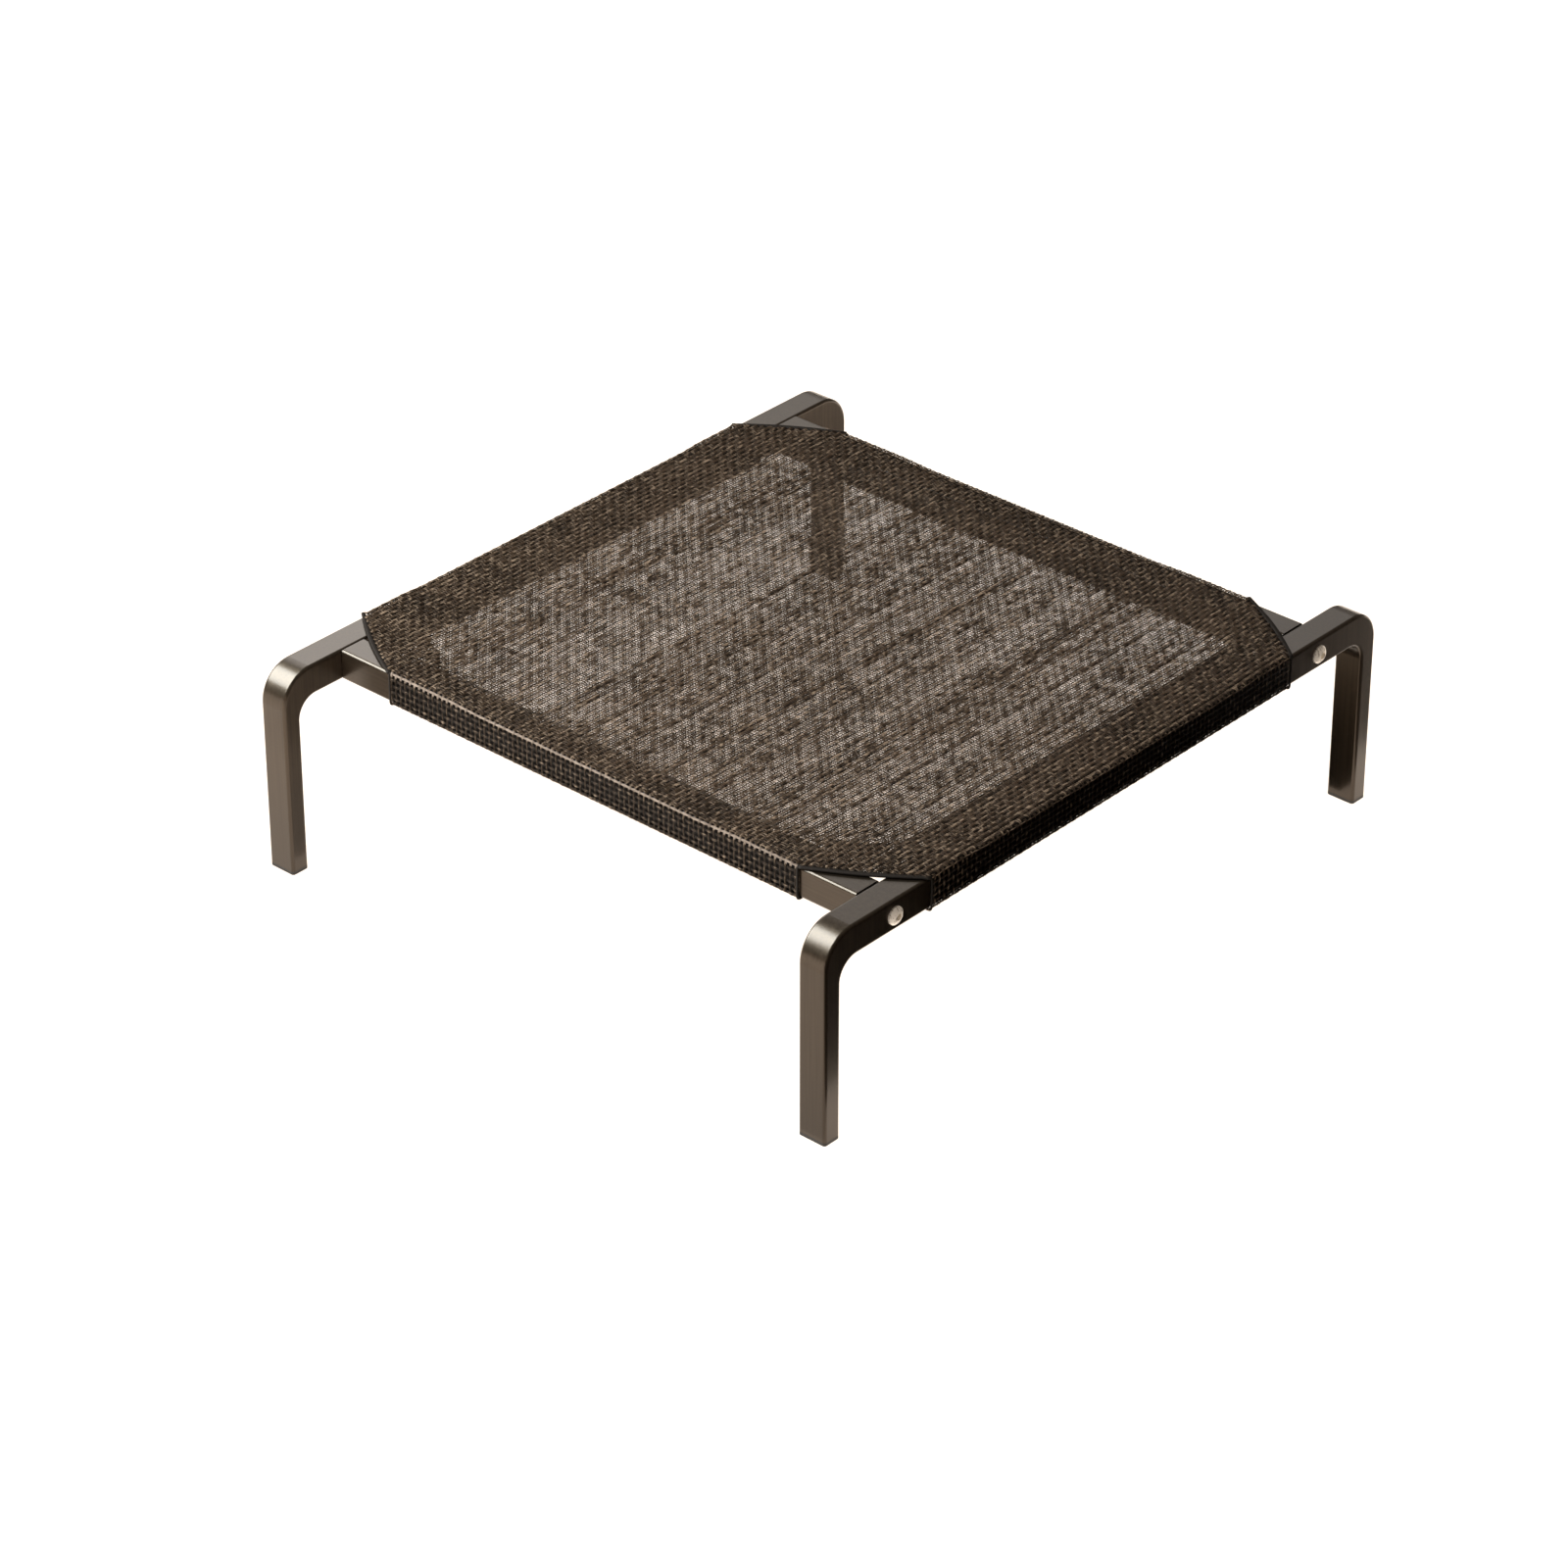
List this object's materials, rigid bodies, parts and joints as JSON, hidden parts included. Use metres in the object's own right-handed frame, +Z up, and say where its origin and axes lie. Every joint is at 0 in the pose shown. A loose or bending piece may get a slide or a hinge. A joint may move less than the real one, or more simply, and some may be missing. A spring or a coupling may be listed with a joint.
{
  "type": "raised dog bed",
  "caption": "Raised bed for a small dog: an open mesh sling stretched flat over a bolted square-tube steel frame, with bent legs.",
  "frame": {"origin": "on the floor, under the middle of the bed", "axes": "+X to the bed's right across the two side frames, +Y to the rear along the side frames, +Z up"},
  "size_m": [0.5682, 0.632, 0.1732],
  "materials": {
    "frame_steel": "satin bronze-grey powder coat",
    "insert_steel": "zinc plated",
    "bolt_steel": "bright nickel plated",
    "plug_plastic": "moulded matt black",
    "mesh_cloth": "coated open-weave mesh"
  },
  "bodies": {
    "root": {"side_frame_left": "frame_steel", "side_frame_right": "frame_steel", "cross_rail_front": "frame_steel", "cross_rail_rear": "frame_steel", "rail_insert_front_left": "insert_steel", "rail_insert_front_right": "insert_steel", "rail_insert_rear_left": "insert_steel", "rail_insert_rear_right": "insert_steel", "corner_bolt_front_left": "bolt_steel", "corner_bolt_front_right": "bolt_steel", "corner_bolt_rear_left": "bolt_steel", "corner_bolt_rear_right": "bolt_steel", "foot_plug_front_left": "plug_plastic", "foot_plug_front_right": "plug_plastic", "foot_plug_rear_left": "plug_plastic", "foot_plug_rear_right": "plug_plastic", "mesh_panel": "mesh_cloth", "mesh_pocket_left": "mesh_cloth", "mesh_pocket_right": "mesh_cloth", "mesh_pocket_front": "mesh_cloth", "mesh_pocket_rear": "mesh_cloth"}
  },
  "joints": []
}
